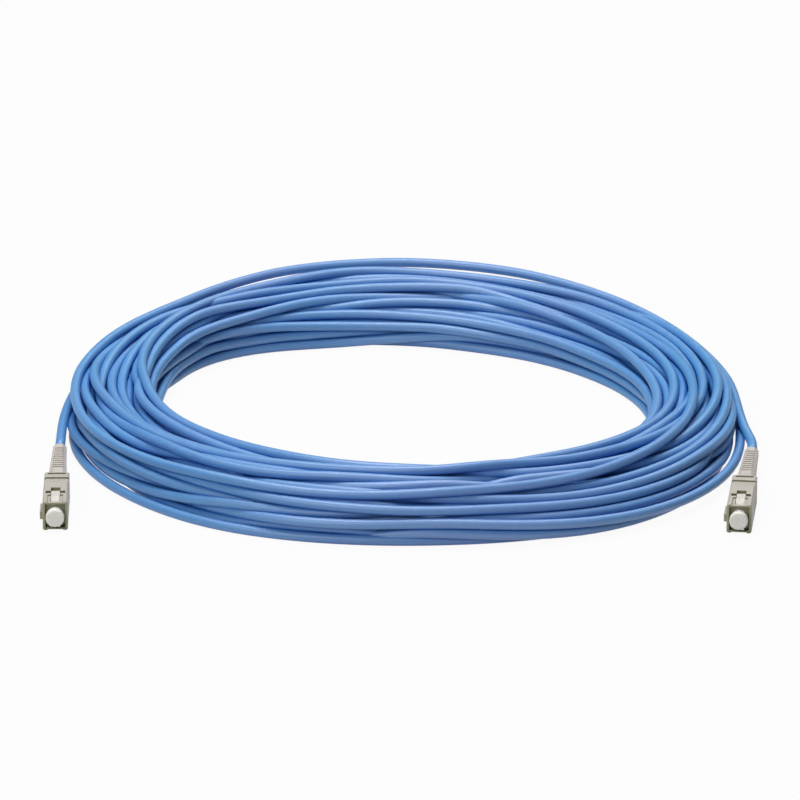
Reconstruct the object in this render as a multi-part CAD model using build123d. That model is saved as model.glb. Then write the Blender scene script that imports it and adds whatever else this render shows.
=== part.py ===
"""Simplex fibre patch cord with an SC plug on each end, lying as a loose flat coil.

Millimetres, +Z up. The origin is on the surface it lies on, midway between the two plugs.
Each plug is modelled about its own axis: station 0 is the front face of the grip housing,
stations grow towards the cable along +Y, and the latch windows face up and down.
"""

import os
from math import radians, tan

from build123d import *

# Cable
CABLE_D = 3.0
BUFFER_D = 0.9

# Places of the two plugs (middle of the grip's front face) and how far each is turned about Z
LEFT_NOSE = (-102.7, -25.7)
LEFT_YAW = 1.4
RIGHT_NOSE = (98.7, -28.2)
RIGHT_YAW = -6.7

# Coil of cable
COIL_CENTRE = (-0.3, 62.7)
COIL_OUTER_R = 105.5
COIL_INNER_R = 75.5
COIL_HEIGHT = 21.0
COIL_BEVEL = 7.0

# Free routes of the cable from each boot to the coil
LEFT_ROUTE = [(-104.08, 30.78, 4.5), (-104.38, 43.18, 4.5), (-103.95, 55.4, 6.7)]
RIGHT_ROUTE = [(105.29, 27.91, 4.5), (106.17, 35.36, 4.5), (105.05, 42.75, 4.9), (103.3, 49.9, 6.4)]
ARC_SHARE = 0.45

# Grip housing
GRIP_LENGTH = 25.0
GRIP_WIDTH = 7.4
GRIP_HEIGHT = 9.0
GRIP_WALL = 0.8
GRIP_EDGE = 0.45
GRIP_NOSE_CHAMFER = 0.25
GRIP_TRAVEL = 1.8
KEY_WIDTH = 2.3
KEY_RISE = 0.8
KEY_LENGTH = 7.0
KEY_SETBACK = 0.5
RIM_LENGTH = 4.2
RIM_GROOVE = 0.7
RIM_GROOVE_DEPTH = 0.45
REAR_SLOT_SPAN = 5.4
REAR_SLOT_LENGTH = 1.1
REAR_SLOT_LIP = 0.5
WAIST_LENGTH = 3.6
WAIST_DEPTH = 0.4

# Latch window in the top and bottom faces of the grip
STEM_WIDTH = 2.8
STEM_SETBACK = 1.0
STEM_END = 12.0
LATCH_GAP = 2.1
ARM_SPAN = 5.8
ARM_SETBACK = 7.3
ARM_LENGTH = 2.0
CHANNEL_WIDTH = 4.6
CHANNEL_DEPTH = 0.35
CHANNEL_LENGTH = 6.0

# Plug frame
SLIDE_GAP = 0.1
FRAME_SETBACK = 1.4
FRAME_LENGTH = 18.0
FRAME_WALL = 0.35
FRAME_CHAMFER = 0.6
WEB_STATION = 5.8
WEB_THICKNESS = 0.8
LUG_SINK = 0.25
LUG_RAMP = 2.2
POCKET_DEPTH = 0.7
POCKET_MARGIN = 0.3
SNAP_SETBACK = 2.4
SNAP_LENGTH = 1.2
SNAP_WIDTH = 1.8
SNAP_RISE = 0.3

# Ferrule and its flange
FERRULE_D = 2.5
FERRULE_LENGTH = 10.5
FERRULE_REACH = 1.2
FERRULE_CHAMFER = 0.4
FERRULE_TRAVEL = 1.5
FERRULE_GAP = 0.1
FLANGE_GAP = 0.2
FLANGE_LENGTH = 2.2
FLANGE_SEAT_GAP = 0.05
FLANGE_SLOT = 0.8
FLANGE_SLOT_DEPTH = 0.4
HUB_D = 2.9
BUFFER_GAP = 0.1
BUFFER_ENTRY = 1.25

# Spring
WIRE_D = 0.45
WIRE_SIDES = 4
SPRING_TURNS = 3.5
SPRING_SEAT_GAP = 0.02

# Spring stop with its crimp barrel, and the crimp sleeve
STOP_NOSE = 4.2
STOP_FIT = 0.02
STOP_COLLAR_GAP = 0.15
STOP_COLLAR = 1.2
BARREL_LENGTH = 6.4
SLEEVE_WALL = 0.35
SLEEVE_FIT = 0.05
SLEEVE_GRIP = 3.2

# Boot
BOOT_END = 56.5
BOOT_SETBACK = 0.4
BOOT_SIDE_GAP = 0.2
BOOT_TOP_GAP = 0.3
BOOT_TAIL_WALL = 0.5
BOOT_COLLAR = 2.0
BOOT_EDGE = 1.1
BOOT_MARGIN = 0.4
BOOT_FIT = 0.05
SLOT_COUNT = 10
SLOT_PITCH = 2.1
SLOT_WIDTH = 0.8
SLOT_DEPTH = 0.4
SLOT_CLEAR = 4.0

# Dust cap
CAP_HEAD_D = 5.5
CAP_PROUD = 2.2
CAP_HEAD_GAP = 0.25
CAP_FIT = 0.05
CAP_END_GAP = 0.4
CAP_WALL = 0.7
CAP_BEVEL = 0.35

# Stations and sizes that follow from the values above
AXIS_HEIGHT = GRIP_HEIGHT / 2
CAVITY_WIDTH = GRIP_WIDTH - 2 * GRIP_WALL
CAVITY_HEIGHT = GRIP_HEIGHT - 2 * GRIP_WALL
FRAME_WIDTH = CAVITY_WIDTH - 2 * SLIDE_GAP
FRAME_HEIGHT = CAVITY_HEIGHT - 2 * SLIDE_GAP
FRAME_END = FRAME_SETBACK + FRAME_LENGTH
FRAME_BORE = FRAME_WIDTH - 2 * FRAME_WALL
SNAP_STATION = FRAME_END - SNAP_SETBACK
LUG_END = STEM_END - LATCH_GAP
LUG_WIDTH = STEM_WIDTH - 2 * SLIDE_GAP
LUG_SETBACK = STEM_SETBACK + GRIP_TRAVEL + SLIDE_GAP
LUG_TOP = GRIP_HEIGHT / 2 - LUG_SINK
FLANGE_FRONT = WEB_STATION + WEB_THICKNESS + FLANGE_SEAT_GAP
FLANGE_BACK = FLANGE_FRONT + FLANGE_LENGTH
FLANGE_D = FRAME_BORE - 2 * FLANGE_GAP
FERRULE_BACK = FERRULE_LENGTH - FERRULE_REACH
BUFFER_FRONT = FERRULE_BACK + FERRULE_TRAVEL + BUFFER_GAP
HUB_BACK = BUFFER_FRONT + BUFFER_ENTRY
SPRING_D = (HUB_D + FRAME_BORE) / 2
STOP_COLLAR_D = CAVITY_WIDTH - 2 * STOP_COLLAR_GAP
STOP_FRONT = FRAME_END - STOP_NOSE
BARREL_FRONT = FRAME_END + STOP_COLLAR
BARREL_BACK = BARREL_FRONT + BARREL_LENGTH
SLEEVE_FRONT = BARREL_FRONT + SLEEVE_FIT
SLEEVE_BACK = BARREL_BACK + SLEEVE_GRIP
SLEEVE_BORE = CABLE_D + 2 * SLEEVE_FIT
SLEEVE_D = SLEEVE_BORE + 2 * SLEEVE_WALL
BOOT_FRONT = SLEEVE_FRONT + BOOT_SETBACK
BOOT_TAPER = GRIP_LENGTH + GRIP_TRAVEL + BOOT_MARGIN
BOOT_TAPER_END = BOOT_END - BOOT_COLLAR
BOOT_BASE_WIDTH = CAVITY_WIDTH - 2 * BOOT_SIDE_GAP
BOOT_BASE_HEIGHT = CAVITY_HEIGHT - 2 * BOOT_TOP_GAP
BOOT_BORE = CABLE_D + 2 * BOOT_FIT
BOOT_TAIL_D = BOOT_BORE + 2 * BOOT_TAIL_WALL


def turned(*outline):
    """Solid turned about the plug axis from (radius, station) points."""
    return revolve(make_face(Polyline(*outline, close=True)), Axis.Y)


def block(width, height, front, back):
    """Box centred on the plug axis between two stations."""
    return Pos(0, (front + back) / 2, 0) * Box(width, back - front, height)


def long_edges(shape):
    """Edges that run along the plug axis."""
    return shape.edges().filter_by(Axis.Y)


def on_both_faces(cutter):
    """A feature of the upper window face, repeated on the lower one."""
    return [cutter, Rot(0, 180, 0) * cutter]


def grip_housing():
    """Square push-pull sleeve with a key rib, T-shaped latch windows, a sloped waist and a slotted rear rim."""
    body = block(GRIP_WIDTH, GRIP_HEIGHT, 0, GRIP_LENGTH)
    body = chamfer(long_edges(body), GRIP_EDGE)
    body = chamfer(body.faces().sort_by(Axis.Y)[0].edges(), GRIP_NOSE_CHAMFER)
    key = Pos(-(GRIP_WIDTH + KEY_RISE) / 2, KEY_SETBACK + KEY_LENGTH / 2, 0)
    body += key * Box(KEY_RISE, KEY_LENGTH, KEY_WIDTH)
    body -= block(CAVITY_WIDTH, CAVITY_HEIGHT, 0, GRIP_LENGTH)

    groove_front = GRIP_LENGTH - RIM_LENGTH - RIM_GROOVE
    groove_back = GRIP_LENGTH - RIM_LENGTH
    groove = block(2 * GRIP_WIDTH, 2 * GRIP_HEIGHT, groove_front, groove_back)
    inner_width = GRIP_WIDTH - 2 * RIM_GROOVE_DEPTH
    inner_height = GRIP_HEIGHT - 2 * RIM_GROOVE_DEPTH
    body -= groove - block(inner_width, inner_height, groove_front, groove_back)

    top = GRIP_HEIGHT / 2
    slope = make_face(
        Polyline(
            (groove_front - WAIST_LENGTH, top),
            (groove_front - WAIST_LENGTH, top + WAIST_DEPTH),
            (groove_front, top + WAIST_DEPTH),
            (groove_front, top - WAIST_DEPTH),
            close=True,
        )
    )
    waist = extrude(Plane.YZ * slope, GRIP_WIDTH, both=True)
    rear_slot = Pos(0, GRIP_LENGTH - REAR_SLOT_LIP - REAR_SLOT_LENGTH / 2, top)
    rear_slot *= Box(REAR_SLOT_SPAN, REAR_SLOT_LENGTH, 2 * RIM_GROOVE_DEPTH)
    for cutter in on_both_faces(waist) + on_both_faces(rear_slot):
        body -= cutter

    wall_middle = (GRIP_HEIGHT - GRIP_WALL) / 2
    deep = 2 * GRIP_WALL
    stem = Pos(0, (STEM_SETBACK + STEM_END) / 2, wall_middle)
    stem *= Box(STEM_WIDTH, STEM_END - STEM_SETBACK, deep)
    arms = Pos(0, ARM_SETBACK + ARM_LENGTH / 2, wall_middle) * Box(ARM_SPAN, ARM_LENGTH, deep)
    channel = Pos(0, CHANNEL_LENGTH / 2, GRIP_HEIGHT / 2)
    channel *= Box(CHANNEL_WIDTH, CHANNEL_LENGTH, 2 * CHANNEL_DEPTH)
    for cutter in on_both_faces(stem + arms + channel):
        body -= cutter
    return body


def plug_frame():
    """Inner frame: latch lugs on two faces, a front bore and a rear spring chamber."""
    body = block(FRAME_WIDTH, FRAME_HEIGHT, FRAME_SETBACK, FRAME_END)
    body = chamfer(long_edges(body), FRAME_CHAMFER)

    pocket_front = ARM_SETBACK - POCKET_MARGIN
    pocket_back = STEM_END + POCKET_MARGIN
    pocket = Pos(0, (pocket_front + pocket_back) / 2, FRAME_HEIGHT / 2)
    pocket *= Box(FRAME_WIDTH, pocket_back - pocket_front, 2 * POCKET_DEPTH)
    for cutter in on_both_faces(pocket):
        body -= cutter

    lug_foot = FRAME_HEIGHT / 2 - POCKET_DEPTH
    profile = make_face(
        Polyline(
            (LUG_SETBACK, lug_foot),
            (LUG_SETBACK, FRAME_HEIGHT / 2),
            (LUG_SETBACK + LUG_RAMP, LUG_TOP),
            (LUG_END, LUG_TOP),
            (LUG_END, lug_foot),
            close=True,
        )
    )
    lug = extrude(Plane.YZ * profile, LUG_WIDTH / 2, both=True)
    for latch in on_both_faces(lug):
        body += latch

    body -= turned((0, 0), (FRAME_BORE / 2, 0), (FRAME_BORE / 2, WEB_STATION), (0, WEB_STATION))
    web_back = WEB_STATION + WEB_THICKNESS
    body -= turned((0, web_back), (FRAME_BORE / 2, web_back), (FRAME_BORE / 2, FRAME_END), (0, FRAME_END))
    web_bore = FERRULE_D / 2 + FERRULE_GAP
    body -= turned((0, 0), (web_bore, 0), (web_bore, FRAME_END), (0, FRAME_END))

    snap = Pos(0, SNAP_STATION, 0) * Box(2 * FRAME_WIDTH, SNAP_LENGTH, SNAP_WIDTH)
    return body - snap


def ferrule():
    """Ceramic pin with a chamfered end."""
    radius = FERRULE_D / 2
    return turned(
        (0, -FERRULE_REACH),
        (radius - FERRULE_CHAMFER, -FERRULE_REACH),
        (radius, FERRULE_CHAMFER - FERRULE_REACH),
        (radius, FERRULE_BACK),
        (0, FERRULE_BACK),
    )


def ferrule_flange():
    """Metal collar pressed on the ferrule, with two key slots and a hub inside the spring."""
    bore = BUFFER_D / 2 + BUFFER_GAP
    body = turned(
        (FERRULE_D / 2, FLANGE_FRONT),
        (FLANGE_D / 2, FLANGE_FRONT),
        (FLANGE_D / 2, FLANGE_BACK),
        (HUB_D / 2, FLANGE_BACK),
        (HUB_D / 2, HUB_BACK),
        (bore, HUB_BACK),
        (bore, FERRULE_BACK),
        (FERRULE_D / 2, FERRULE_BACK),
    )
    slot = Pos(0, (FLANGE_FRONT + FLANGE_BACK) / 2, FLANGE_D / 2)
    slot *= Box(FLANGE_SLOT, FLANGE_LENGTH, 2 * FLANGE_SLOT_DEPTH)
    for cutter in on_both_faces(slot):
        body -= cutter
    return body


def spring():
    """Helical compression spring between the flange and the spring stop."""
    low = FLANGE_BACK + WIRE_D / 2 + SPRING_SEAT_GAP
    high = STOP_FRONT - WIRE_D / 2 - SPRING_SEAT_GAP
    path = Helix(pitch=(high - low) / SPRING_TURNS, height=high - low, radius=SPRING_D / 2)
    wire = sweep((path ^ 0) * RegularPolygon(WIRE_D / 2, WIRE_SIDES), path=path, is_frenet=True)
    return Pos(0, low, 0) * Rot(-90, 0, 0) * wire


def spring_stop():
    """Rear body: nose and snap lugs in the frame, collar against it, ringed crimp barrel behind."""
    bore = BUFFER_D / 2 + BUFFER_GAP
    nose = FRAME_BORE / 2 - STOP_FIT
    body = turned(
        (bore, STOP_FRONT),
        (nose, STOP_FRONT),
        (nose, FRAME_END),
        (STOP_COLLAR_D / 2, FRAME_END),
        (STOP_COLLAR_D / 2, BARREL_FRONT),
        (CABLE_D / 2, BARREL_FRONT),
        (CABLE_D / 2, BARREL_BACK),
        (bore, BARREL_BACK),
    )
    snap_span = FRAME_BORE + 2 * SNAP_RISE
    lugs = Pos(0, SNAP_STATION, 0) * Box(snap_span, SNAP_LENGTH - SLIDE_GAP, SNAP_WIDTH - SLIDE_GAP)
    body += lugs - block(FRAME_BORE - WIRE_D, FRAME_BORE, STOP_FRONT, FRAME_END)
    return body


def crimp_sleeve():
    """Sleeve over the crimp barrel and the end of the cable jacket."""
    bore = SLEEVE_BORE / 2
    outer = SLEEVE_D / 2
    return turned((bore, SLEEVE_FRONT), (outer, SLEEVE_FRONT), (outer, SLEEVE_BACK), (bore, SLEEVE_BACK))


def cable_tail():
    """End of the cable jacket, inside the crimp sleeve and the boot."""
    radius = CABLE_D / 2
    return turned((0, BARREL_BACK), (radius, BARREL_BACK), (radius, BOOT_END), (0, BOOT_END))


def fibre_buffer():
    """Buffered fibre from the cable's end through the rear body into the flange's hub."""
    radius = BUFFER_D / 2
    return turned((0, BUFFER_FRONT), (radius, BUFFER_FRONT), (radius, BARREL_BACK), (0, BARREL_BACK))


def boot_section(width, height, station):
    """Bevelled cross-section of the boot at a station, facing the cable."""
    across = Plane(origin=(0, station, 0), x_dir=(1, 0, 0), z_dir=(0, 1, 0))
    return across * chamfer(Rectangle(width, height).vertices(), BOOT_EDGE)


def boot():
    """Rubber boot: straight base in the grip, long taper and short collar, slotted above and below."""
    front = boot_section(BOOT_BASE_WIDTH, BOOT_BASE_HEIGHT, BOOT_FRONT)
    wide = boot_section(BOOT_BASE_WIDTH, BOOT_BASE_HEIGHT, BOOT_TAPER)
    narrow = boot_section(BOOT_TAIL_D, BOOT_TAIL_D, BOOT_TAPER_END)
    body = extrude(front, BOOT_TAPER - BOOT_FRONT)
    body += loft([wide, narrow], ruled=True)
    body += extrude(narrow, BOOT_COLLAR)

    over_sleeve = SLEEVE_D / 2 + BOOT_FIT
    body -= turned(
        (0, BOOT_FRONT),
        (over_sleeve, BOOT_FRONT),
        (over_sleeve, SLEEVE_BACK + BOOT_FIT),
        (BOOT_BORE / 2, SLEEVE_BACK + BOOT_FIT),
        (BOOT_BORE / 2, BOOT_END),
        (0, BOOT_END),
    )

    last_slot = BOOT_END - SLOT_CLEAR
    rise = (BOOT_BASE_HEIGHT - BOOT_TAIL_D) / 2 / (BOOT_TAPER_END - BOOT_TAPER)
    for index in range(SLOT_COUNT):
        station = last_slot - index * SLOT_PITCH
        floor = BOOT_TAIL_D / 2 + rise * (BOOT_TAPER_END - station) - SLOT_DEPTH
        slot = Pos(0, station, floor + SLOT_WIDTH) * Box(BOOT_BASE_WIDTH, SLOT_WIDTH, 2 * SLOT_WIDTH)
        for cutter in on_both_faces(slot):
            body -= cutter
    return body


def dust_cap():
    """Push-on cap: a round head before the mouth and a skirt between the frame and the ferrule."""
    skirt = FRAME_BORE / 2 - CAP_FIT
    bore = FERRULE_D / 2 + CAP_FIT
    head_back = -CAP_HEAD_GAP
    skirt_back = WEB_STATION - CAP_END_GAP
    return turned(
        (0, -CAP_PROUD),
        (CAP_HEAD_D / 2 - CAP_BEVEL, -CAP_PROUD),
        (CAP_HEAD_D / 2, CAP_BEVEL - CAP_PROUD),
        (CAP_HEAD_D / 2, head_back),
        (skirt, head_back),
        (skirt, skirt_back),
        (bore, skirt_back),
        (bore, CAP_WALL - CAP_PROUD),
        (0, CAP_WALL - CAP_PROUD),
    )


def cable_lead(name, route):
    """Round cable along straight runs joined by the largest arcs that the runs allow."""
    points = [Vector(*point) for point in route]
    runs = [after - before for before, after in zip(points, points[1:])]
    radii = []
    for before, after in zip(runs, runs[1:]):
        half_turn = radians(before.get_angle(after)) / 2
        radii.append(ARC_SHARE * min(before.length, after.length) / tan(half_turn))
    path = FilletPolyline(*points, radius=radii)
    tube = sweep((path ^ 0) * Circle(CABLE_D / 2), path=path)
    section = Circle(CABLE_D / 2).area
    print(name, "radii", [round(radius) for radius in radii])
    print(name, "volume", round(tube.volume, 1), "section x length", round(section * path.length, 1))
    return tube


def cable_coil():
    """Outer shape of the wound cable: a flat ring with bevelled shoulders."""
    section = make_face(
        Polyline(
            (COIL_INNER_R, 0),
            (COIL_OUTER_R, 0),
            (COIL_OUTER_R, COIL_HEIGHT - COIL_BEVEL),
            (COIL_OUTER_R - COIL_BEVEL, COIL_HEIGHT),
            (COIL_INNER_R + COIL_BEVEL, COIL_HEIGHT),
            (COIL_INNER_R, COIL_HEIGHT - COIL_BEVEL),
            close=True,
        )
    )
    ring = revolve(Plane.XZ * section, Axis.Z)
    return Pos(*COIL_CENTRE, 0) * ring


PLUG_PIECES = {
    "grip_housing": grip_housing,
    "plug_frame": plug_frame,
    "ferrule": ferrule,
    "ferrule_flange": ferrule_flange,
    "spring": spring,
    "spring_stop": spring_stop,
    "crimp_sleeve": crimp_sleeve,
    "cable_tail": cable_tail,
    "fibre_buffer": fibre_buffer,
    "boot": boot,
    "dust_cap": dust_cap,
}

SEATS = {
    "left": Pos(*LEFT_NOSE, AXIS_HEIGHT) * Rot(0, 0, LEFT_YAW),
    "right": Pos(*RIGHT_NOSE, AXIS_HEIGHT) * Rot(0, 0, RIGHT_YAW),
}


def build():
    """Build every piece and return it by its node's name."""
    nodes = {
        "cable_coil": cable_coil(),
        "left_lead": cable_lead("left_lead", LEFT_ROUTE),
        "right_lead": cable_lead("right_lead", RIGHT_ROUTE),
    }
    for piece_name, make in PLUG_PIECES.items():
        piece = make()
        for side, seat in SEATS.items():
            nodes[f"{side}_{piece_name}"] = seat * piece
    return nodes


def main():
    """Write one STEP file for each node."""
    os.makedirs("parts", exist_ok=True)
    for name, shape in build().items():
        shape.label = name
        export_step(shape, f"parts/{name}.step")


if __name__ == "__main__":
    main()
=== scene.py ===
"""Looks of a simplex fibre patch cord: a loose flat coil of blue cable with a capped plug on each end."""

import logging
import math
from dataclasses import dataclass, field
from enum import Enum
from typing import Any

import bpy
import numpy as np
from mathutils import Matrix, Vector


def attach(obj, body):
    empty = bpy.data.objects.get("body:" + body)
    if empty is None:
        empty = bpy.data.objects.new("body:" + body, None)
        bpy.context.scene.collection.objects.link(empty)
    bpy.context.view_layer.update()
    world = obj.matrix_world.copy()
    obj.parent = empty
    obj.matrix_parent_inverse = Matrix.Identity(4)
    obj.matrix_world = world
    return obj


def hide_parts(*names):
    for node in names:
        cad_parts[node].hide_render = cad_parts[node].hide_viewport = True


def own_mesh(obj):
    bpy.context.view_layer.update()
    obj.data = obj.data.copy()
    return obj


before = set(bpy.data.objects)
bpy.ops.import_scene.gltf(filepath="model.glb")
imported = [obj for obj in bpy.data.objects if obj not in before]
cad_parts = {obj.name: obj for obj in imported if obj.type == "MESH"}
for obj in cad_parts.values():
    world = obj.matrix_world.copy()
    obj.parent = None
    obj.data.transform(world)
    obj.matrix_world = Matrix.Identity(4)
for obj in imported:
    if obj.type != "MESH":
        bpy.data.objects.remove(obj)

Colour = tuple[float, float, float]
Point = tuple[float, float, float]
Span = tuple[float, float]

LOG = logging.getLogger("patch_cord")
UP: Point = (0.0, 0.0, 1.0)
WHITE = (1.0, 1.0, 1.0, 1.0)
FULL_TURN = 2.0 * math.pi
FAR_AWAY = 1.0e3
FAR_STEP = 10.0
TINY = 1.0e-12
SAME_POINT = 1.0e-6


class Side(Enum):
    """The two ends of the cord, named as the camera sees them."""

    LEFT = "left"
    RIGHT = "right"


class Coordinates(Enum):
    """Where a finish reads its pattern from."""

    OBJECT = "Object"
    FACING = "Normal"
    ALONG_CORD = "UV"


@dataclass(frozen=True)
class Grain:
    """A noise pattern.

    Attributes:
        cells: cells per unit of the coordinates.
        octaves: finer copies that are added.
        weight: strength of each finer copy.
    """

    cells: float
    octaves: float = 2.0
    weight: float = 0.5


class Shader:
    """One material's node tree, with short calls to add and join nodes."""

    MIX_FACTOR, MIX_FIRST, MIX_SECOND, MIX_RESULT = 0, 6, 7, 2
    RAY_SAMPLES = 6

    def __init__(self, name: str) -> None:
        """Makes an empty material with a principled shader.

        Args:
            name: the material's name.
        """
        self.material = bpy.data.materials.new(name)
        self.material.use_nodes = True
        self.tree = self.material.node_tree
        self.body = self.tree.nodes["Principled BSDF"]

    def node(self, kind: str, inputs: dict[str, Any] | None = None, **settings: Any) -> bpy.types.Node:
        """Adds a node.

        Args:
            kind: the node's type name.
            inputs: socket names with a value, or with the output socket to join.
            settings: properties of the node itself.

        Returns:
            The new node.
        """
        made = self.tree.nodes.new(kind)
        for key, value in settings.items():
            setattr(made, key, value)
        for key, value in (inputs or {}).items():
            self.feed(made.inputs[key], value)
        return made

    def feed(self, socket: bpy.types.NodeSocket, value: Any) -> None:
        """Joins an output socket to an input, or sets the input's value.

        Args:
            socket: the input.
            value: the output socket to join, or the value to set.
        """
        if isinstance(value, bpy.types.NodeSocket):
            self.tree.links.new(value, socket)
        else:
            socket.default_value = value

    def surface(self, **values: Any) -> None:
        """Sets or joins inputs of the principled shader, named with underscores for spaces."""
        for key, value in values.items():
            self.feed(self.body.inputs[key.replace("_", " ")], value)

    def coordinates(self, source: Coordinates, scale: Point = (1.0, 1.0, 1.0)) -> bpy.types.NodeSocket:
        """Texture coordinates stretched by a scale.

        Args:
            source: object space in metres, or the piece's own unwrapped length.
            scale: stretch along each axis.

        Returns:
            The vector socket.
        """
        start = self.node("ShaderNodeTexCoord")
        stretch = self.node("ShaderNodeMapping", {"Vector": start.outputs[source.value], "Scale": scale})
        return stretch.outputs["Vector"]

    def facing(self) -> bpy.types.NodeSocket:
        """Direction that a face looks in, in object space."""
        return self.node("ShaderNodeTexCoord").outputs[Coordinates.FACING.value]

    def part(self, vector: bpy.types.NodeSocket, axis: str) -> bpy.types.NodeSocket:
        """One part of a vector: X, Y or Z."""
        return self.node("ShaderNodeSeparateXYZ", {"Vector": vector}).outputs[axis]

    def noise(self, vector: bpy.types.NodeSocket, grain: Grain) -> bpy.types.NodeSocket:
        """Grey noise around one half.

        Args:
            vector: texture coordinates.
            grain: the pattern.

        Returns:
            The factor socket.
        """
        made = self.node("ShaderNodeTexNoise", {
            "Vector": vector, "Scale": grain.cells, "Detail": grain.octaves, "Roughness": grain.weight})
        return made.outputs["Fac"]

    def ranged(self, value: bpy.types.NodeSocket, low: float, high: float,
               start: float = 0.3, end: float = 0.7) -> bpy.types.NodeSocket:
        """Maps a number from one range to another, held at both ends.

        Args:
            value: number socket.
            low: result at the start.
            high: result at the end.
            start: value that gives low.
            end: value that gives high.

        Returns:
            The result's socket.
        """
        made = self.node("ShaderNodeMapRange", {
            "Value": value, "From Min": start, "From Max": end, "To Min": low, "To Max": high})
        return made.outputs["Result"]

    def calculated(self, operation: str, first: Any, second: Any = 0.0) -> bpy.types.NodeSocket:
        """One step of arithmetic on numbers or sockets.

        Args:
            operation: the math node's operation.
            first: number or socket.
            second: number or socket.

        Returns:
            The result's socket.
        """
        made = self.node("ShaderNodeMath", operation=operation)
        self.feed(made.inputs[0], first)
        self.feed(made.inputs[1], second)
        return made.outputs[0]

    def mixed(self, factor: Any, first: Any, second: Any) -> bpy.types.NodeSocket:
        """Mixes two colours.

        Args:
            factor: share of the second colour, a number or a socket.
            first: colour or socket.
            second: colour or socket.

        Returns:
            The colour socket.
        """
        made = self.node("ShaderNodeMix", data_type="RGBA")
        for place, value in ((self.MIX_FACTOR, factor), (self.MIX_FIRST, first), (self.MIX_SECOND, second)):
            self.feed(made.inputs[place], (*value, 1.0) if isinstance(value, tuple) else value)
        return made.outputs[self.MIX_RESULT]

    def bump(self, height: bpy.types.NodeSocket, distance: float, strength: float,
             normal: bpy.types.NodeSocket | None = None) -> bpy.types.NodeSocket:
        """Bends the normal by a height field.

        Args:
            height: factor socket.
            distance: metres of a full step.
            strength: share of the effect.
            normal: normal to start from.

        Returns:
            The normal socket.
        """
        inputs: dict[str, Any] = {"Height": height, "Distance": distance, "Strength": strength}
        if normal is not None:
            inputs["Normal"] = normal
        return self.node("ShaderNodeBump", inputs).outputs["Normal"]

    def soft_edges(self, radius: float) -> bpy.types.NodeSocket:
        """Normal that rounds sharp edges over a radius in metres."""
        made = self.node("ShaderNodeBevel", {"Radius": radius}, samples=self.RAY_SAMPLES)
        return made.outputs["Normal"]

    def hollows(self, distance: float) -> bpy.types.NodeSocket:
        """Factor that falls below one in corners narrower than a distance in metres, which the finishes use to
        paint shade.
        """
        made = self.node("ShaderNodeAmbientOcclusion", {"Distance": distance}, samples=self.RAY_SAMPLES)
        return made.outputs["AO"]


@dataclass(frozen=True)
class CableJacket:
    """Satin extruded cable jacket with fine die lines, a slow drift of hue and faint rubbed patches.

    The hue is more violet in the coil's middle than at its sides, a painted tint of the light that falls there.
    Crevices between strands are darkened to a deep blue, which is painted shade. A relief is the depth in metres
    and the share of it that shows.
    """

    name: str = "blue_cable_jacket"
    cool: Colour = (0.085, 0.300, 0.590)
    violet: Colour = (0.168, 0.292, 0.585)
    # painted tint of the light: the jacket is made more violet towards the coil's middle than at its sides
    painted_violet_light_share: Span = (0.75, 0.10)
    painted_violet_light_reach: Span = (0.045, 0.10)
    hue: Grain = Grain(16.0, 1.0)
    hue_sway: float = 0.35
    deep: Colour = (0.065, 0.222, 0.530)
    drift: Grain = Grain(5.0)
    drift_share: float = 0.7
    # painted shade: deep blue laid into the crevices between strands
    painted_crevice_shade: Colour = (0.016, 0.160, 0.560)
    painted_crevice_shade_reach: float = 0.003
    painted_crevice_shade_share: float = 0.85
    painted_crevice_shade_onset: Span = (0.15, 0.70)
    rubbed: Colour = (0.19, 0.350, 0.63)
    rub: Grain = Grain(420.0, 3.0, 0.6)
    rub_share: float = 0.35
    rub_onset: Span = (0.56, 0.80)
    die_lines: Grain = Grain(1.0, 3.0, 0.65)
    die_stretch: Point = (14.0, 26.0, 1.0)
    die_relief: Span = (0.00004, 0.35)
    grain: Grain = Grain(5200.0)
    grain_relief: Span = (0.00001, 0.30)
    roughness: Span = (0.37, 0.51)
    specular: float = 0.70

    def material(self) -> bpy.types.Material:
        """Builds the material; the die lines run along the cord's own unwrapped length.

        Returns:
            The finished material.
        """
        s = Shader(self.name)
        along = s.coordinates(Coordinates.ALONG_CORD)
        stretched = s.coordinates(Coordinates.ALONG_CORD, self.die_stretch)
        space = s.coordinates(Coordinates.OBJECT)
        drift = s.noise(along, self.drift)
        rub = s.noise(space, self.rub)
        lines = s.noise(stretched, self.die_lines)
        grain = s.noise(space, self.grain)
        aside = s.calculated("ABSOLUTE", s.part(space, "X"))
        hue = s.ranged(s.noise(space, self.hue), -self.hue_sway, self.hue_sway)
        # painted tint of the light, more violet near the coil's middle than at its sides
        hue = s.calculated("ADD", hue, s.ranged(aside, *self.painted_violet_light_share, *self.painted_violet_light_reach))
        base = s.mixed(s.ranged(hue, 0.0, 1.0, 0.0, 1.0), self.cool, self.violet)
        base = s.mixed(s.ranged(drift, 0.0, self.drift_share), base, self.deep)
        # painted shade: crevices between strands darkened where occlusion is high
        painted_crevice_amount = s.ranged(s.hollows(self.painted_crevice_shade_reach), self.painted_crevice_shade_share, 0.0, *self.painted_crevice_shade_onset)
        base = s.mixed(painted_crevice_amount, base, self.painted_crevice_shade)
        base = s.mixed(s.ranged(rub, 0.0, self.rub_share, *self.rub_onset), base, self.rubbed)
        relief = s.bump(grain, *self.grain_relief, s.bump(lines, *self.die_relief))
        s.surface(Base_Color=base, Roughness=s.ranged(rub, *self.roughness),
                  Specular_IOR_Level=self.specular, Normal=relief)
        return s.material


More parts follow.
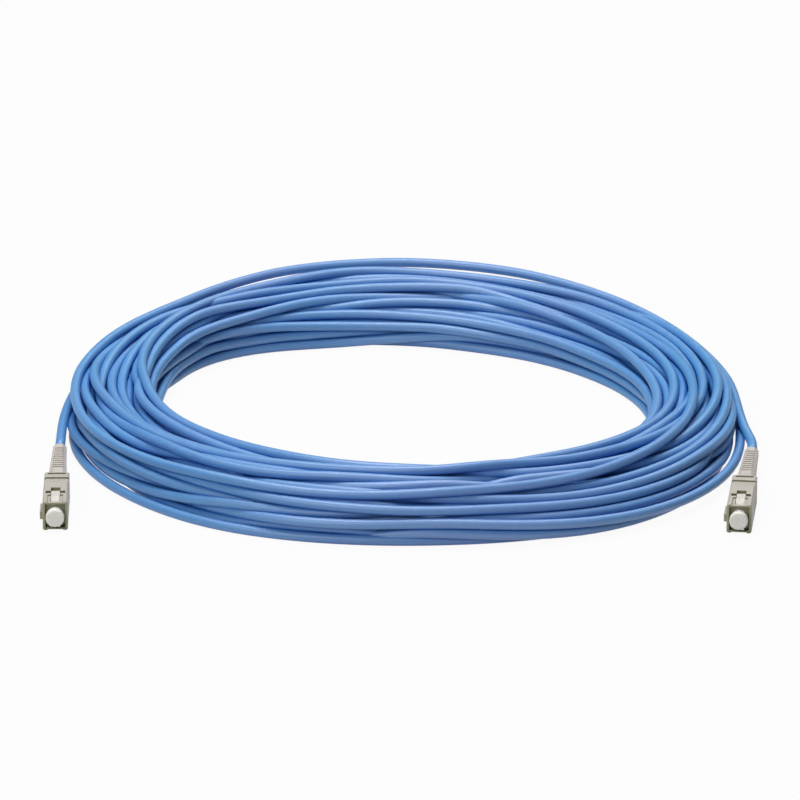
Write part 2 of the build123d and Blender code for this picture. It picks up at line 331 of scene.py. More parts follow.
@dataclass(frozen=True)
class MouldedPlastic:
    """Injection-moulded plastic: fine spark texture, slow tone drift, softened edges and painted shade in corners.

    Faces that look out of the plug's nose can carry a painted shade of their own, darker and olive, as the shaded
    rim of the mouth has.
    """

    name: str
    tone: Colour
    shade: Colour
    roughness: Span = (0.40, 0.54)
    grain: Grain = Grain(3600.0, 3.0, 0.6)
    grain_relief: Span = (0.00002, 0.35)
    drift: Grain = Grain(160.0)
    drift_share: float = 0.5
    flow: Grain = Grain(1.0)
    flow_stretch: Point = (900.0, 110.0, 900.0)
    flow_share: float = 0.18
    flow_onset: Span = (0.5, 0.8)
    edge: float = 0.00012
    # painted shade: dark olive laid into corners and hollows
    painted_hollow_shade: Colour = (0.105, 0.100, 0.055)
    painted_hollow_shade_reach: float = 0.0020
    painted_hollow_shade_share: float = 0.85
    painted_hollow_shade_onset: Span = (0.20, 0.90)
    # end: painted shade on faces that look out of the plug's nose
    end: Colour | None = None
    painted_front_shade_share: float = 0.9
    painted_front_shade_facing: Span = (-0.97, -0.75)
    specular: float = 0.45

    def material(self) -> bpy.types.Material:
        """Builds the material.

        Returns:
            The finished material.
        """
        s = Shader(self.name)
        space = s.coordinates(Coordinates.OBJECT)
        drift = s.noise(space, self.drift)
        grain = s.noise(space, self.grain)
        flow = s.noise(s.coordinates(Coordinates.OBJECT, self.flow_stretch), self.flow)
        base = s.mixed(s.ranged(drift, 0.0, self.drift_share), self.tone, self.shade)
        base = s.mixed(s.ranged(flow, 0.0, self.flow_share, *self.flow_onset), base, self.shade)
        # painted shade: faces that look out of the nose are darkened towards the end colour
        if self.end is not None:
            ahead = s.part(s.facing(), "Y")
            base = s.mixed(s.ranged(ahead, self.painted_front_shade_share, 0.0, *self.painted_front_shade_facing), base, self.end)
        # painted shade in corners and hollows
        painted_shade_amount = s.ranged(s.hollows(self.painted_hollow_shade_reach), self.painted_hollow_shade_share, 0.0, *self.painted_hollow_shade_onset)
        base = s.mixed(painted_shade_amount, base, self.painted_hollow_shade)
        relief = s.bump(grain, *self.grain_relief, s.soft_edges(self.edge))
        s.surface(Base_Color=base, Roughness=s.ranged(grain, *self.roughness),
                  Specular_IOR_Level=self.specular, Normal=relief)
        return s.material


@dataclass(frozen=True)
class SoftRubber:
    """Matt elastomer of the boot: dusty bloom, painted shade in the slots, fine pitting and a soft sheen."""

    name: str = "boot_elastomer"
    tone: Colour = (0.46, 0.42, 0.38)
    dust: Colour = (0.60, 0.57, 0.52)
    dusting: Grain = Grain(240.0, 3.0)
    dust_share: float = 0.45
    # painted shade: a darker copy of the rubber laid into the slots
    painted_slot_shade: Colour = (0.184, 0.168, 0.152)
    painted_slot_shade_reach: float = 0.0010
    painted_slot_shade_share: float = 0.60
    painted_slot_shade_onset: Span = (0.25, 0.95)
    pits: Grain = Grain(2600.0, 3.0, 0.7)
    pit_relief: Span = (0.00003, 0.4)
    edge: float = 0.00015
    roughness: Span = (0.55, 0.72)
    specular: float = 0.35
    sheen: float = 0.12
    sheen_roughness: float = 0.5

    def material(self) -> bpy.types.Material:
        """Builds the material.

        Returns:
            The finished material.
        """
        s = Shader(self.name)
        space = s.coordinates(Coordinates.OBJECT)
        dusting = s.noise(space, self.dusting)
        pits = s.noise(space, self.pits)
        base = s.mixed(s.ranged(dusting, 0.0, self.dust_share), self.tone, self.dust)
        # painted shade in the slots and other narrow hollows
        painted_shade_amount = s.ranged(s.hollows(self.painted_slot_shade_reach), self.painted_slot_shade_share, 0.0, *self.painted_slot_shade_onset)
        base = s.mixed(painted_shade_amount, base, self.painted_slot_shade)
        relief = s.bump(pits, *self.pit_relief, s.soft_edges(self.edge))
        s.surface(Base_Color=base, Roughness=s.ranged(pits, *self.roughness), Specular_IOR_Level=self.specular,
                  Sheen_Weight=self.sheen, Sheen_Roughness=self.sheen_roughness, Normal=relief)
        return s.material


@dataclass(frozen=True)
class MilkyPlastic:
    """Thin milky cap plastic: light spreads inside it, with faint clouds and a waxy face."""

    name: str = "milky_cap_plastic"
    tone: Colour = (0.84, 0.82, 0.77)
    cloud: Colour = (0.77, 0.75, 0.70)
    clouds: Grain = Grain(420.0, 3.0, 0.6)
    cloud_share: float = 0.8
    wax: Grain = Grain(2200.0)
    wax_relief: Span = (0.00002, 0.25)
    edge: float = 0.00015
    roughness: Span = (0.31, 0.44)
    specular: float = 0.45
    glow: float = 0.35
    glow_depth: float = 0.0012
    glow_spread: Colour = (1.0, 0.95, 0.85)

    def material(self) -> bpy.types.Material:
        """Builds the material.

        Returns:
            The finished material.
        """
        s = Shader(self.name)
        space = s.coordinates(Coordinates.OBJECT)
        clouds = s.noise(space, self.clouds)
        wax = s.noise(space, self.wax)
        base = s.mixed(s.ranged(clouds, 0.0, self.cloud_share), self.tone, self.cloud)
        relief = s.bump(wax, *self.wax_relief, s.soft_edges(self.edge))
        s.surface(Base_Color=base, Roughness=s.ranged(wax, *self.roughness), Subsurface_Weight=self.glow,
                  Subsurface_Scale=self.glow_depth, Subsurface_Radius=self.glow_spread,
                  Specular_IOR_Level=self.specular, Normal=relief)
        return s.material


@dataclass(frozen=True)
class TurnedMetal:
    """Plated or drawn metal with fine tool rings across the plug's axis and small stains."""

    name: str
    tone: Colour
    stain: Colour
    roughness: Span = (0.24, 0.40)
    rings: Grain = Grain(1.0)
    ring_stretch: Point = (40.0, 5200.0, 40.0)
    ring_relief: Span = (0.00001, 0.35)
    stains: Grain = Grain(700.0, 3.0, 0.6)
    stain_share: float = 0.7
    edge: float = 0.00008

    def material(self) -> bpy.types.Material:
        """Builds the material.

        Returns:
            The finished material.
        """
        s = Shader(self.name)
        space = s.coordinates(Coordinates.OBJECT)
        rings = s.noise(s.coordinates(Coordinates.OBJECT, self.ring_stretch), self.rings)
        stains = s.noise(space, self.stains)
        base = s.mixed(s.ranged(stains, 0.0, self.stain_share), self.tone, self.stain)
        relief = s.bump(rings, *self.ring_relief, s.soft_edges(self.edge))
        s.surface(Base_Color=base, Metallic=1.0, Normal=relief, Roughness=s.ranged(rings, *self.roughness))
        return s.material


@dataclass(frozen=True)
class PolishedCeramic:
    """Dense white ceramic with a glassy polish and a trace of warm mottling."""

    name: str = "white_ceramic"
    tone: Colour = (0.86, 0.86, 0.84)
    warm: Colour = (0.80, 0.79, 0.75)
    mottle: Grain = Grain(900.0, 3.0)
    warm_share: float = 0.6
    polish: Grain = Grain(6000.0)
    polish_relief: Span = (0.000004, 0.2)
    edge: float = 0.00008
    roughness: Span = (0.10, 0.18)
    specular: float = 0.6

    def material(self) -> bpy.types.Material:
        """Builds the material.

        Returns:
            The finished material.
        """
        s = Shader(self.name)
        space = s.coordinates(Coordinates.OBJECT)
        mottle = s.noise(space, self.mottle)
        polish = s.noise(space, self.polish)
        base = s.mixed(s.ranged(mottle, 0.0, self.warm_share), self.tone, self.warm)
        relief = s.bump(polish, *self.polish_relief, s.soft_edges(self.edge))
        s.surface(Base_Color=base, Roughness=s.ranged(polish, *self.roughness),
                  Specular_IOR_Level=self.specular, Normal=relief)
        return s.material


@dataclass(frozen=True)
class RoundWire:
    """A circle carried along a line, with closed ends.

    Attributes:
        line: points along the middle of the wire.
        diameter: thickness of the wire.
        sides: faces round the wire.
        square_to: a direction that the line never runs along; the sideways direction is square to it.
    """

    line: np.ndarray
    diameter: float
    sides: int
    square_to: Point

    def skin(self) -> np.ndarray:
        """Points of the surface, one ring for each point of the line.

        A surface point is the line's point plus half a diameter times cosine along the sideways direction and
        sine along the upward one, which are square to the line's own direction.

        Returns:
            Array of rings of points.
        """
        ahead = np.gradient(self.line, axis=0)
        ahead /= np.linalg.norm(ahead, axis=1)[:, None]
        sideways = np.cross(ahead, np.array(self.square_to))
        sideways /= np.linalg.norm(sideways, axis=1)[:, None]
        upward = np.cross(sideways, ahead)
        turn = FULL_TURN * np.arange(self.sides) / self.sides
        ring = (np.cos(turn)[None, :, None] * sideways[:, None, :]
                + np.sin(turn)[None, :, None] * upward[:, None, :])
        return self.line[:, None, :] + 0.5 * self.diameter * ring

    def cells(self) -> tuple[np.ndarray, np.ndarray]:
        """Row along the line and place round the wire of each four-sided face."""
        return np.meshgrid(np.arange(len(self.line) - 1), np.arange(self.sides), indexing="ij")

    def faces(self) -> list[list[int]]:
        """Point numbers of each face: four-sided ones along the wire, then a fan on each end.

        Returns:
            List of faces.
        """
        sides, rows = self.sides, len(self.line)
        row, side = self.cells()
        after = (side + 1) % sides
        quads = np.stack([row * sides + side, row * sides + after,
                          (row + 1) * sides + after, (row + 1) * sides + side], axis=-1).reshape(-1, 4)
        step = np.arange(sides)
        beside = (step + 1) % sides
        base = (rows - 1) * sides
        start = np.stack([np.full(sides, rows * sides), beside, step], axis=1)
        finish = np.stack([np.full(sides, rows * sides + 1), base + step, base + beside], axis=1)
        return quads.tolist() + start.tolist() + finish.tolist()

    def unwrapped(self) -> np.ndarray:
        """Place of each face corner: metres along the line, and share of a turn round the wire.

        Returns:
            Array of pairs in the order of the faces' corners, with zeros on the ends.
        """
        row, side = self.cells()
        steps = np.linalg.norm(np.diff(self.line, axis=0), axis=1)
        run = np.concatenate([[0.0], np.cumsum(steps)])
        along = np.stack([run[row], run[row], run[row + 1], run[row + 1]], axis=-1).reshape(-1)
        wrap = np.stack([side, side + 1, side + 1, side], axis=-1).reshape(-1) / self.sides
        ends = np.zeros(3 * 2 * self.sides)
        return np.stack([np.concatenate([along, ends]), np.concatenate([wrap, ends])], axis=1)

    def build(self, name: str) -> bpy.types.Object:
        """Makes the mesh.

        Args:
            name: the new object's name.

        Returns:
            The new object.
        """
        points = np.vstack([self.skin().reshape(-1, 3), self.line[:1], self.line[-1:]])
        mesh = bpy.data.meshes.new(name)
        mesh.from_pydata(points.tolist(), [], self.faces())
        mesh.uv_layers.new(name="length").data.foreach_set("uv", self.unwrapped().ravel())
        mesh.polygons.foreach_set("use_smooth", np.ones(len(mesh.polygons), dtype=bool))
        made = bpy.data.objects.new(name, mesh)
        bpy.context.scene.collection.objects.link(made)
        return made


@dataclass(frozen=True)
class Settling:
    """How far the turns move in each step while they settle.

    Attributes:
        steps: number of steps.
        spacing: wanted gap between strands, in diameters.
        parting: share of an overlap that is cleared.
        easing: share of the smoothing, before and after the last stretch of steps.
        last: share of the steps after which the last stretch begins.
        stiff: weight of the stiff average in the smoothing.
        even: weight of the plain average.
        sink: how far a strand sinks, in diameters.
        hold: pull towards the plan, the fading part and the lasting part.
        hold_slack: further pull on the slack turn.
        slack_free: share of firmness above which a strand may leave the outline.
        start: points at the start that are held.
        hold_start: pull on them.
    """

    steps: int = 480
    spacing: float = 1.06
    parting: float = 0.8
    easing: Span = (0.5, 0.25)
    last: float = 0.8
    stiff: float = 0.6
    even: float = 0.4
    sink: float = 0.002
    hold: Span = (0.04, 0.004)
    hold_slack: float = 0.25
    slack_free: float = 0.1
    start: int = 3
    hold_start: float = 0.5


@dataclass
class CableCoil:
    """The cable: one length from boot to boot, laid in loose round turns that lean back and fan out at the sides.

    Lengths are metres. Turns start on the left side and run clockwise as seen from above. Each turn is a near
    circle a little off the coil's centre, and higher turns lie further to the back, so they cross the lower ones
    on the left and on the right. Rings of values go round from +X by eighths of a circle. Slack values belong to
    the last turn, by turns left to the coil's end.
    """

    diameter: float = 0.003
    length: float = 20.0
    turns: float = 35.5
    stations: int = 48
    seed: int = 22
    centre: tuple[float, float] = (-0.0003, 0.0627)
    left_route: tuple[Point, ...] = (
        (-0.10408, 0.03078, 0.0045), (-0.10438, 0.04318, 0.0045), (-0.10395, 0.0554, 0.0067))
    right_route: tuple[Point, ...] = (
        (0.10529, 0.02791, 0.0045), (0.10617, 0.03536, 0.0045),
        (0.10505, 0.04275, 0.0049), (0.1033, 0.0499, 0.0064))
    inner: tuple[float, ...] = (0.0770, 0.0740, 0.0740, 0.0850, 0.0750, 0.0730, 0.0790, 0.0785)
    outer: tuple[float, ...] = (0.1035, 0.0990, 0.0995, 0.1000, 0.1030, 0.1055, 0.1020, 0.1130)
    top: tuple[float, ...] = (0.0140, 0.0150, 0.0190, 0.0125, 0.0140, 0.0155, 0.0150, 0.0145)
    lean: float = 0.95
    offset_limit: float = 1.15
    stray: tuple[float, float, float, float] = (0.60, 0.30, 0.40, 0.09)
    stray_reach: int = 26
    stray_window: int = 4
    recess: float = 0.0026
    recess_limit: float = 2.5
    lead_in: Span = (0.1037, 0.0072)
    lead_in_reach: float = 9.0
    lead_free: float = 0.1
    slack_at: tuple[float, ...] = (0.0, 0.06, 0.12, 0.19, 0.25, 0.32, 0.40, 0.50)
    slack_radius: tuple[float, ...] = (0.1030, 0.1025, 0.1022, 0.1032, 0.1035, 0.1026, 0.0968, 0.0950)
    slack_height: tuple[float, ...] = (0.0075, 0.0100, 0.0145, 0.0182, 0.0193, 0.0190, 0.0140, 0.0130)
    slack_reach: Span = (0.5, 0.10)
    firm_reach: Span = (0.40, 0.08)
    firm_share: float = 0.9
    settling: Settling = Settling()
    sides: int = 16
    samples: int = 3
    spline_order: int = 3
    finish: CableJacket = CableJacket()
    centreline: np.ndarray = field(default_factory=lambda: np.zeros((0, 3)))

    @property
    def count(self) -> int:
        """Number of points on the coiled stretch."""
        return int(self.turns * self.stations) + 1

    def angles(self) -> np.ndarray:
        """Angle of each coil point in radians: half a circle less one full circle for each turn."""
        return math.pi - FULL_TURN * np.arange(self.count) / self.stations

    def to_end(self) -> np.ndarray:
        """Turns left from each coil point to the coil's end."""
        return (self.count - 1 - np.arange(self.count)) / self.stations

    def near_end(self, reach: Span) -> np.ndarray:
        """Share that grows from nought to one, from a number of turns before the coil's end and over another."""
        start, blend = reach
        return np.clip((start - self.to_end()) / blend, 0.0, 1.0)

    def around(self, values: tuple[float, ...]) -> np.ndarray:
        """Eases a ring of values along the coil points.

        Args:
            values: the ring of values.

        Returns:
            One value for each coil point, with smooth steps between neighbours.
        """
        ring = np.asarray(values)
        place = (self.angles() / FULL_TURN % 1.0) * len(ring)
        before = np.floor(place).astype(int) % len(ring)
        share = place - np.floor(place)
        share = share * share * (3.0 - 2.0 * share)
        return ring[before] * (1.0 - share) + ring[(before + 1) % len(ring)] * share

    def wander(self, rng: np.random.Generator) -> np.ndarray:
        """Random signal along the coil: white noise under a bell-shaped window, scaled to unit spread.

        Args:
            rng: source of the noise.

        Returns:
            One value for each coil point.
        """
        edge = self.stray_window * self.stray_reach
        reach = np.arange(-edge, edge + 1)
        bell = np.exp(-0.5 * (reach / self.stray_reach) ** 2)
        raw = rng.standard_normal(self.count + len(bell) - 1)
        return np.convolve(raw, bell, mode="valid") / np.sqrt((bell ** 2).sum())

    def planned(self) -> tuple[np.ndarray, np.ndarray, np.ndarray]:
        """Radius and height of each coil point before the turns settle, and how far in and out it may go.

        The offset from mid radius is lean times sine plus stray times cosine of the angle, which is a circle off
        centre, plus a stray change of size. Height grows from the first turn to the last. Each stretch has limits
        of its own, up to a few recesses inside the coil's outline, so some strands lie deeper than others.

        Returns:
            Array of (radius, height) rows, the least radius and the greatest radius of each point.
        """
        rng = np.random.default_rng(self.seed)
        angle = self.angles()
        inner, outer, top = self.around(self.inner), self.around(self.outer), self.around(self.top)
        across, back, size, lift = self.stray
        level = np.clip(np.linspace(0.0, 1.0, self.count) + lift * self.wander(rng), 0.0, 1.0)
        off_back = self.lean * (2.0 * level - 1.0) + back * self.wander(rng)
        off_side = across * self.wander(rng)
        offset = off_back * np.sin(angle) + off_side * np.cos(angle) + size * self.wander(rng)
        offset = self.offset_limit * np.tanh(offset / self.offset_limit)
        radius = 0.5 * (inner + outer) + 0.5 * (outer - inner) * offset
        height = 0.5 * self.diameter + (top - self.diameter) * level
        plan = np.stack([radius, height], axis=1)
        entry = np.exp(-(np.arange(self.count) / self.lead_in_reach) ** 2)[:, None]
        plan = plan * (1.0 - entry) + np.array(self.lead_in) * entry
        slack = np.stack([np.interp(self.to_end(), self.slack_at, self.slack_radius),
                          np.interp(self.to_end(), self.slack_at, self.slack_height)], axis=1)
        ease = self.near_end(self.slack_reach)[:, None]
        ease = ease * ease * (3.0 - 2.0 * ease)
        least = inner + self.recess * np.clip(self.wander(rng), 0.0, self.recess_limit)
        most = outer - self.recess * np.clip(self.wander(rng), 0.0, self.recess_limit)
        return plan * (1.0 - ease) + slack * ease, least, most

    def held_leads(self) -> np.ndarray:
        """Radius and height of the two leads at the stations that they pass, and far away at the others.

        Returns:
            Array of (radius, height) rows, one for each station.
        """
        step = FULL_TURN / self.stations
        bearing = (math.pi - step * np.arange(self.stations)) % FULL_TURN
        held = np.full((self.stations, 2), FAR_AWAY)
        for route in (self.left_route, self.right_route):
            spots = np.array(route) - np.array([*self.centre, 0.0])
            reach = np.arctan2(spots[:, 1], spots[:, 0]) % FULL_TURN
            spots = spots[np.argsort(reach)]
            reach = np.sort(reach)
            passed = (bearing > reach[0] - step) & (bearing < reach[-1] + step)
            passed &= np.abs(np.sin(bearing)) > self.lead_free
            held[passed, 0] = np.interp(bearing[passed], reach, np.hypot(spots[:, 0], spots[:, 1]))
            held[passed, 1] = np.interp(bearing[passed], reach, spots[:, 2])
        return held

    def pushes(self, strands: np.ndarray) -> np.ndarray:
        """How far each strand has to move to clear its neighbours at the same station.

        A strand's push is the sum over its neighbours of half the missing gap, directed away from the neighbour.

        Args:
            strands: (radius, height) of each strand at each station.

        Returns:
            Array of moves, of the same shape.
        """
        apart = strands[:, :, None, :] - strands[:, None, :, :]
        gap = np.sqrt((apart ** 2).sum(axis=-1)) + TINY
        press = np.clip(self.settling.spacing * self.diameter - gap, 0.0, None)
        same = np.arange(strands.shape[1])
        press[:, same, same] = 0.0
        return (apart / gap[..., None] * (0.5 * press)[..., None]).sum(axis=2)

    def smoothed(self, spot: np.ndarray) -> np.ndarray:
        """Averages each point with its neighbours along the cable.

        The plain average has weights 1, 2, 1. The stiff one has weights -1, 4, 10, 4, -1, so it keeps bends and
        takes out kinks.

        Args:
            spot: (radius, height) rows along the cable.

        Returns:
            The averaged rows.
        """
        even, stiff = spot.copy(), spot.copy()
        even[1:-1] = 0.25 * spot[:-2] + 0.5 * spot[1:-1] + 0.25 * spot[2:]
        stiff[2:-2] = (-spot[:-4] + 4.0 * spot[1:-3] + 10.0 * spot[2:-2] + 4.0 * spot[3:-1] - spot[4:]) / 16.0
        return self.settling.stiff * stiff + self.settling.even * even

    def settled(self) -> np.ndarray:
        """Moves the planned turns apart until they rest side by side and on each other.

        Every step pushes strands at one station apart to a full spacing, eases each strand along its length as its
        stiffness would, lets it sink a little, and keeps it on the floor and within the coil's outline.

        Returns:
            Array of (radius, height) rows.
        """
        rule = self.settling
        plan, least, most = self.planned()
        columns = -(-self.count // self.stations)
        table = np.arange(self.stations)[:, None] + self.stations * np.arange(columns)[None, :]
        real = table < self.count
        away = FAR_AWAY + FAR_STEP * np.arange(columns)[None, :, None]
        leads = self.held_leads()[:, None, :]
        firm = self.firm_share * self.near_end(self.firm_reach)
        fading, lasting = rule.hold
        spot = plan.copy()
        for step in range(rule.steps):
            done = step / rule.steps
            strands = np.where(real[..., None], spot[np.minimum(table, self.count - 1)], away)
            push = self.pushes(np.concatenate([strands, leads], axis=1))
            spot[table[real]] += rule.parting * push[:, :columns][real]
            ease = rule.easing[0] if done < rule.last else rule.easing[1]
            spot = (1.0 - ease) * spot + ease * self.smoothed(spot)
            spot[:, 1] -= rule.sink * self.diameter
            spot += (plan - spot) * (fading * (1.0 - done) + lasting + rule.hold_slack * firm)[:, None]
            spot[:, 1] = np.maximum(spot[:, 1], 0.5 * self.diameter)
            inside = np.clip(spot[:, 0], least, most)
            spot[:, 0] = np.where(firm > rule.slack_free, spot[:, 0], inside)
            spot[:rule.start] += rule.hold_start * (plan[:rule.start] - spot[:rule.start])
        return spot

    def control_points(self) -> np.ndarray:
        """Control points from the left boot, through the coil, to the right boot, in the row frame.

        Returns:
            Array of points.
        """
        angle, spot = self.angles(), self.settled()
        coil = np.stack([self.centre[0] + spot[:, 0] * np.cos(angle),
                         self.centre[1] + spot[:, 0] * np.sin(angle), spot[:, 1]], axis=1)
        return np.vstack([np.array(self.left_route), coil[1:-1], np.array(self.right_route)[::-1]])

    def traced(self) -> np.ndarray:
        """Points of the smooth spline that the control points steer.

        Returns:
            Array of points, in order from the left boot to the right one.
        """
        control = self.control_points()
        curve = bpy.data.curves.new("cable_route", "CURVE")
        curve.dimensions = "3D"
        spline = curve.splines.new("NURBS")
        spline.points.add(len(control) - 1)
        spline.points.foreach_set("co", np.hstack([control, np.ones((len(control), 1))]).ravel())
        spline.order_u = self.spline_order
        spline.use_endpoint_u = True
        spline.resolution_u = self.samples
        carrier = bpy.data.objects.new("cable_route", curve)
        bpy.context.scene.collection.objects.link(carrier)
        bpy.context.view_layer.update()
        mesh = bpy.data.meshes.new_from_object(carrier)
        line = np.zeros(len(mesh.vertices) * 3)
        mesh.vertices.foreach_get("co", line)
        bpy.data.objects.remove(carrier)
        bpy.data.curves.remove(curve)
        bpy.data.meshes.remove(mesh)
        line = line.reshape(-1, 3)
        moved = np.linalg.norm(np.diff(line, axis=0), axis=1) > SAME_POINT
        return line[np.concatenate([[True], moved])]

    def build(self) -> bpy.types.Object:
        """Makes the cable, hangs it on the cord's body and hides the solids that it stands for.

        Returns:
            The cable's object.
        """
        self.centreline = self.traced()
        made = RoundWire(self.centreline, self.diameter, self.sides, UP).build("blue_cable")
        made.data.materials.append(self.finish.material())
        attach(made, "cord")
        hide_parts("cable_coil", "left_lead", "right_lead")
        return made


@dataclass
class Plug:
    """One capped plug: gives each of its solids a finish and winds the spring behind its ferrule.

    Lengths are metres and the yaw is in degrees. Stations run back from the plug's nose along its axis.
    """

    side: Side
    finishes: dict[str, bpy.types.Material]
    nose: Point
    yaw: float
    spring_front: float = 0.00885
    spring_back: float = 0.0152
    seat_gap: float = 0.00002
    wire: float = 0.00045
    winding: float = 0.0039
    turns: float = 6.0
    sides: int = 10
    steps: int = 28
    travel: float = 0.0015

    def dress(self) -> list[str]:
        """Sets the finish of every solid of this plug.

        Returns:
            Names of the dressed solids.
        """
        done = []
        for piece, finish in self.finishes.items():
            name = f"{self.side.value}_{piece}"
            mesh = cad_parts[name].data
            mesh.materials.clear()
            mesh.materials.append(finish)
            done.append(name)
        return done

    def axes(self) -> tuple[np.ndarray, np.ndarray, np.ndarray]:
        """Directions of the plug.

        Returns:
            Unit vectors to its right, to its rear and up.
        """
        turn = math.radians(self.yaw)
        across = np.array([math.cos(turn), math.sin(turn), 0.0])
        rear = np.array([-math.sin(turn), math.cos(turn), 0.0])
        return across, rear, np.array(UP)

    def spring_line(self) -> np.ndarray:
        """Middle of the spring's wire.

        The angle grows evenly. The station grows by one wire thickness over the first and the last turn, which lie
        closed on their neighbours, and evenly over the turns between them.

        Returns:
            Array of points from the ferrule's flange to the rear body.
        """
        across, rear, above = self.axes()
        turn = np.linspace(0.0, self.turns, int(self.turns * self.steps) + 1)
        low = self.spring_front + self.seat_gap + 0.5 * self.wire
        high = self.spring_back - self.seat_gap - 0.5 * self.wire
        station = np.interp(turn, (0.0, 1.0, self.turns - 1.0, self.turns),
                            (low, low + self.wire, high - self.wire, high))
        angle = FULL_TURN * turn[:, None]
        ring = 0.5 * self.winding * (np.cos(angle) * across + np.sin(angle) * above)
        return np.array(self.nose) + station[:, None] * rear + ring

    def wind_spring(self) -> bpy.types.Object:
        """Makes the spring, wound from the ferrule's flange to the rear body.

        Returns:
            The spring's object.
        """
        rear = self.axes()[1]
        spring = RoundWire(self.spring_line(), self.wire, self.sides, tuple(rear))
        made = spring.build(f"{self.side.value}_spring_wire")
        made.data.materials.append(self.finishes["spring"])
        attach(made, "cord")
        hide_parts(f"{self.side.value}_spring")
        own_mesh(made)
        return made


@dataclass(frozen=True)
class Lamp:
    """A square soft lamp.

    Attributes:
        name: the lamp's name.
        place: where it hangs.
        size: its side length.
        power: watts.
    """

    name: str
    place: Point
    size: float
    power: float


@dataclass
class Studio:
    """Pale floor, soft lamps and the camera at the photograph's height and distance."""

    target: Point = (-0.0003, 0.0627, 0.0)
    target_pixel: tuple[float, float] = (402.5, 428.0)
    image: float = 800.0
    pixels_per_metre: float = 3250.0
    distance: float = 2.0
    elevation: float = 19.7
    sensor: float = 36.0
    view_end: float = 50.0
    floor_size: float = 60.0
    floor_tone: Colour = (0.52, 0.52, 0.52)
    floor_glow: float = 0.94
    floor_roughness: float = 0.9
    floor_specular: float = 0.1
    surround: float = 0.11
    lamps: tuple[Lamp, ...] = (
        Lamp("overhead", (-0.15, 0.25, 1.3), 0.7, 16.0),
        Lamp("front", (-0.6, -0.95, 0.75), 0.8, 8.0),
        Lamp("back", (0.4, 1.0, 1.0), 0.7, 5.0))

    def camera(self) -> None:
        """Places a long lens so that the coil's centre falls on its pixel at the wanted scale."""
        tilt = math.radians(self.elevation)
        ahead = Vector((0.0, math.cos(tilt), -math.sin(tilt)))
        above = Vector((0.0, math.sin(tilt), math.cos(tilt)))
        right = Vector((1.0, 0.0, 0.0))
        drop = (self.target_pixel[1] - 0.5 * self.image) / self.pixels_per_metre
        shift = (self.target_pixel[0] - 0.5 * self.image) / self.pixels_per_metre
        data = bpy.data.cameras.new("camera")
        data.sensor_width = self.sensor
        data.lens = self.sensor * self.pixels_per_metre * self.distance / self.image
        data.clip_end = self.view_end
        made = bpy.data.objects.new("camera", data)
        made.location = Vector(self.target) - ahead * self.distance - right * shift + above * drop
        made.rotation_euler = ahead.to_track_quat("-Z", "Y").to_euler()
        bpy.context.scene.collection.objects.link(made)
        bpy.context.scene.camera = made

    def floor(self) -> None:
        """Lays a plain pale floor that shows near white and keeps the object's soft shadow."""
        half = 0.5 * self.floor_size
        mesh = bpy.data.meshes.new("floor")
        corners = [(-half, -half, 0.0), (half, -half, 0.0), (half, half, 0.0), (-half, half, 0.0)]
        mesh.from_pydata(corners, [], [(0, 1, 2, 3)])
        s = Shader("pale_floor")
        s.surface(Base_Color=(*self.floor_tone, 1.0), Roughness=self.floor_roughness,
                  Specular_IOR_Level=self.floor_specular)
        path = s.node("ShaderNodeLightPath")
        lit = s.node("ShaderNodeEmission", {"Color": WHITE, "Strength": 1.0})
        seen = path.outputs["Is Camera Ray"]
        for ray in ("Is Glossy Ray", "Is Transmission Ray"):
            seen = s.calculated("MAXIMUM", seen, path.outputs[ray])
        blend = s.node("ShaderNodeMixShader")
        s.feed(blend.inputs[0], s.calculated("MULTIPLY", seen, self.floor_glow))
        s.feed(blend.inputs[1], s.body.outputs["BSDF"])
        s.feed(blend.inputs[2], lit.outputs["Emission"])
        s.feed(s.tree.nodes["Material Output"].inputs["Surface"], blend.outputs["Shader"])
        mesh.materials.append(s.material)
        made = bpy.data.objects.new("floor", mesh)
        bpy.context.scene.collection.objects.link(made)

    def hang(self, lamp: Lamp) -> None:
        """Hangs a lamp that faces the coil.

        Args:
            lamp: the lamp.
        """
        data = bpy.data.lights.new(lamp.name, "AREA")
        data.shape = "SQUARE"
        data.size = lamp.size
        data.energy = lamp.power
        made = bpy.data.objects.new(lamp.name, data)
        made.location = lamp.place
        made.rotation_euler = (Vector(self.target) - Vector(lamp.place)).to_track_quat("-Z", "Y").to_euler()
        bpy.context.scene.collection.objects.link(made)

    def light(self) -> None:
        """Sets a dim plain surround and hangs the lamps."""
        world = bpy.data.worlds.new("surround")
        world.use_nodes = True
        ground = world.node_tree.nodes["Background"]
        ground.inputs["Color"].default_value = WHITE
        ground.inputs["Strength"].default_value = self.surround
        bpy.context.scene.world = world
        for lamp in self.lamps:
            self.hang(lamp)

    def build(self) -> None:
        """Makes the floor, the lamps and the camera."""
        self.floor()
        self.light()
        self.camera()
        bpy.context.scene.view_settings.view_transform = "Standard"


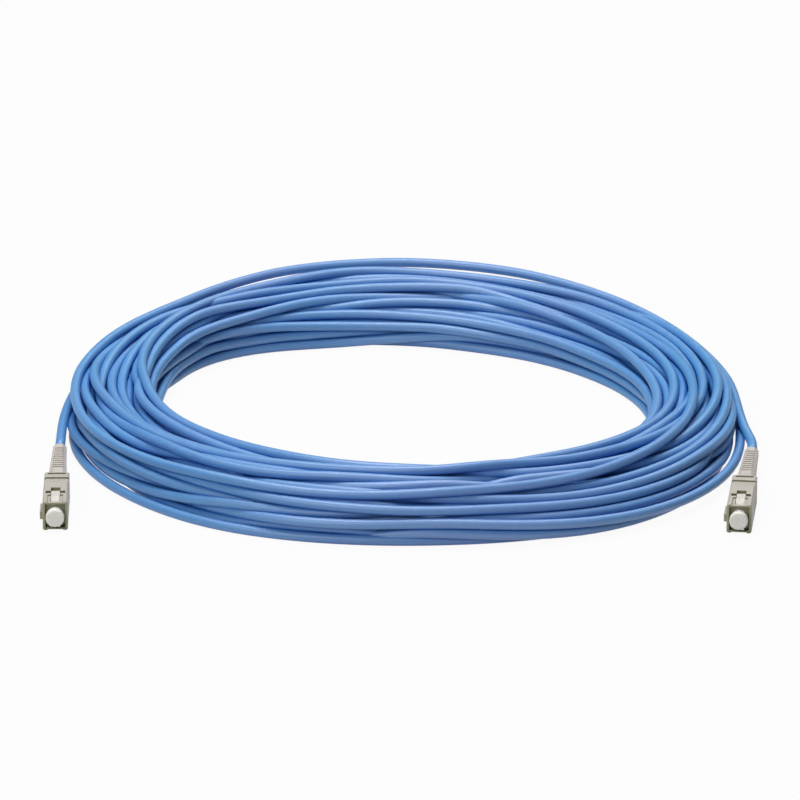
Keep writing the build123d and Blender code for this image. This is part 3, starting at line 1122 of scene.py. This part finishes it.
def plug_finishes() -> dict[str, bpy.types.Material]:
    """Finishes of a plug's solids.

    Returns:
        Material for each piece, under the piece's name without its side.
    """
    # end: painted shade, dark olive, on the faces that look out of the nose
    grip = MouldedPlastic("grip_plastic", (0.445, 0.420, 0.377), (0.400, 0.374, 0.325),
                          end=(0.300, 0.312, 0.155)).material()
    # hollow and end: painted shade in corners and on faces that look out of the nose
    inner = MouldedPlastic("frame_plastic", (0.60, 0.58, 0.53), (0.54, 0.52, 0.47), (0.36, 0.50),
                           Grain(4200.0, 3.0, 0.6), painted_hollow_shade=(0.190, 0.190, 0.115),
                           end=(0.44, 0.43, 0.32)).material()
    plate = TurnedMetal("plated_metal", (0.70, 0.69, 0.66), (0.55, 0.53, 0.49)).material()
    buffer_tube = MouldedPlastic("white_buffer", (0.82, 0.82, 0.78), (0.74, 0.73, 0.68), (0.34, 0.48)).material()
    jacket = MouldedPlastic("blue_jacket_end", CableJacket.cool, CableJacket.deep, (0.36, 0.50)).material()
    spring = TurnedMetal("spring_wire", (0.62, 0.62, 0.63), (0.48, 0.47, 0.46), (0.18, 0.34))
    brass = TurnedMetal("drawn_brass", (0.72, 0.56, 0.30), (0.55, 0.40, 0.20), (0.26, 0.42))
    return {
        "grip_housing": grip,
        "plug_frame": inner,
        "ferrule": PolishedCeramic().material(),
        "ferrule_flange": plate,
        "spring": spring.material(),
        "spring_stop": plate,
        "crimp_sleeve": brass.material(),
        "cable_tail": jacket,
        "fibre_buffer": buffer_tube,
        "boot": SoftRubber().material(),
        "dust_cap": MilkyPlastic().material(),
    }


def main() -> None:
    """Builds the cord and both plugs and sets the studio."""
    logging.basicConfig(level=logging.INFO, format="%(name)s: %(message)s")
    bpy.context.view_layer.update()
    cable = CableCoil()
    made = cable.build()
    LOG.info("%s: %d faces along %d points", made.name, len(made.data.polygons), len(cable.centreline))
    finishes = plug_finishes()
    for plug in (Plug(Side.LEFT, finishes, nose=(-0.1027, -0.0257, 0.0045), yaw=1.4),
                 Plug(Side.RIGHT, finishes, nose=(0.0987, -0.0282, 0.0045), yaw=-6.7)):
        LOG.info("%s plug: %s", plug.side.value, ", ".join(plug.dress()))
        spring = plug.wind_spring()
        LOG.info("%s: %d faces", spring.name, len(spring.data.polygons))
    Studio().build()
    bpy.context.view_layer.update()


if __name__ == "__main__":
    main()
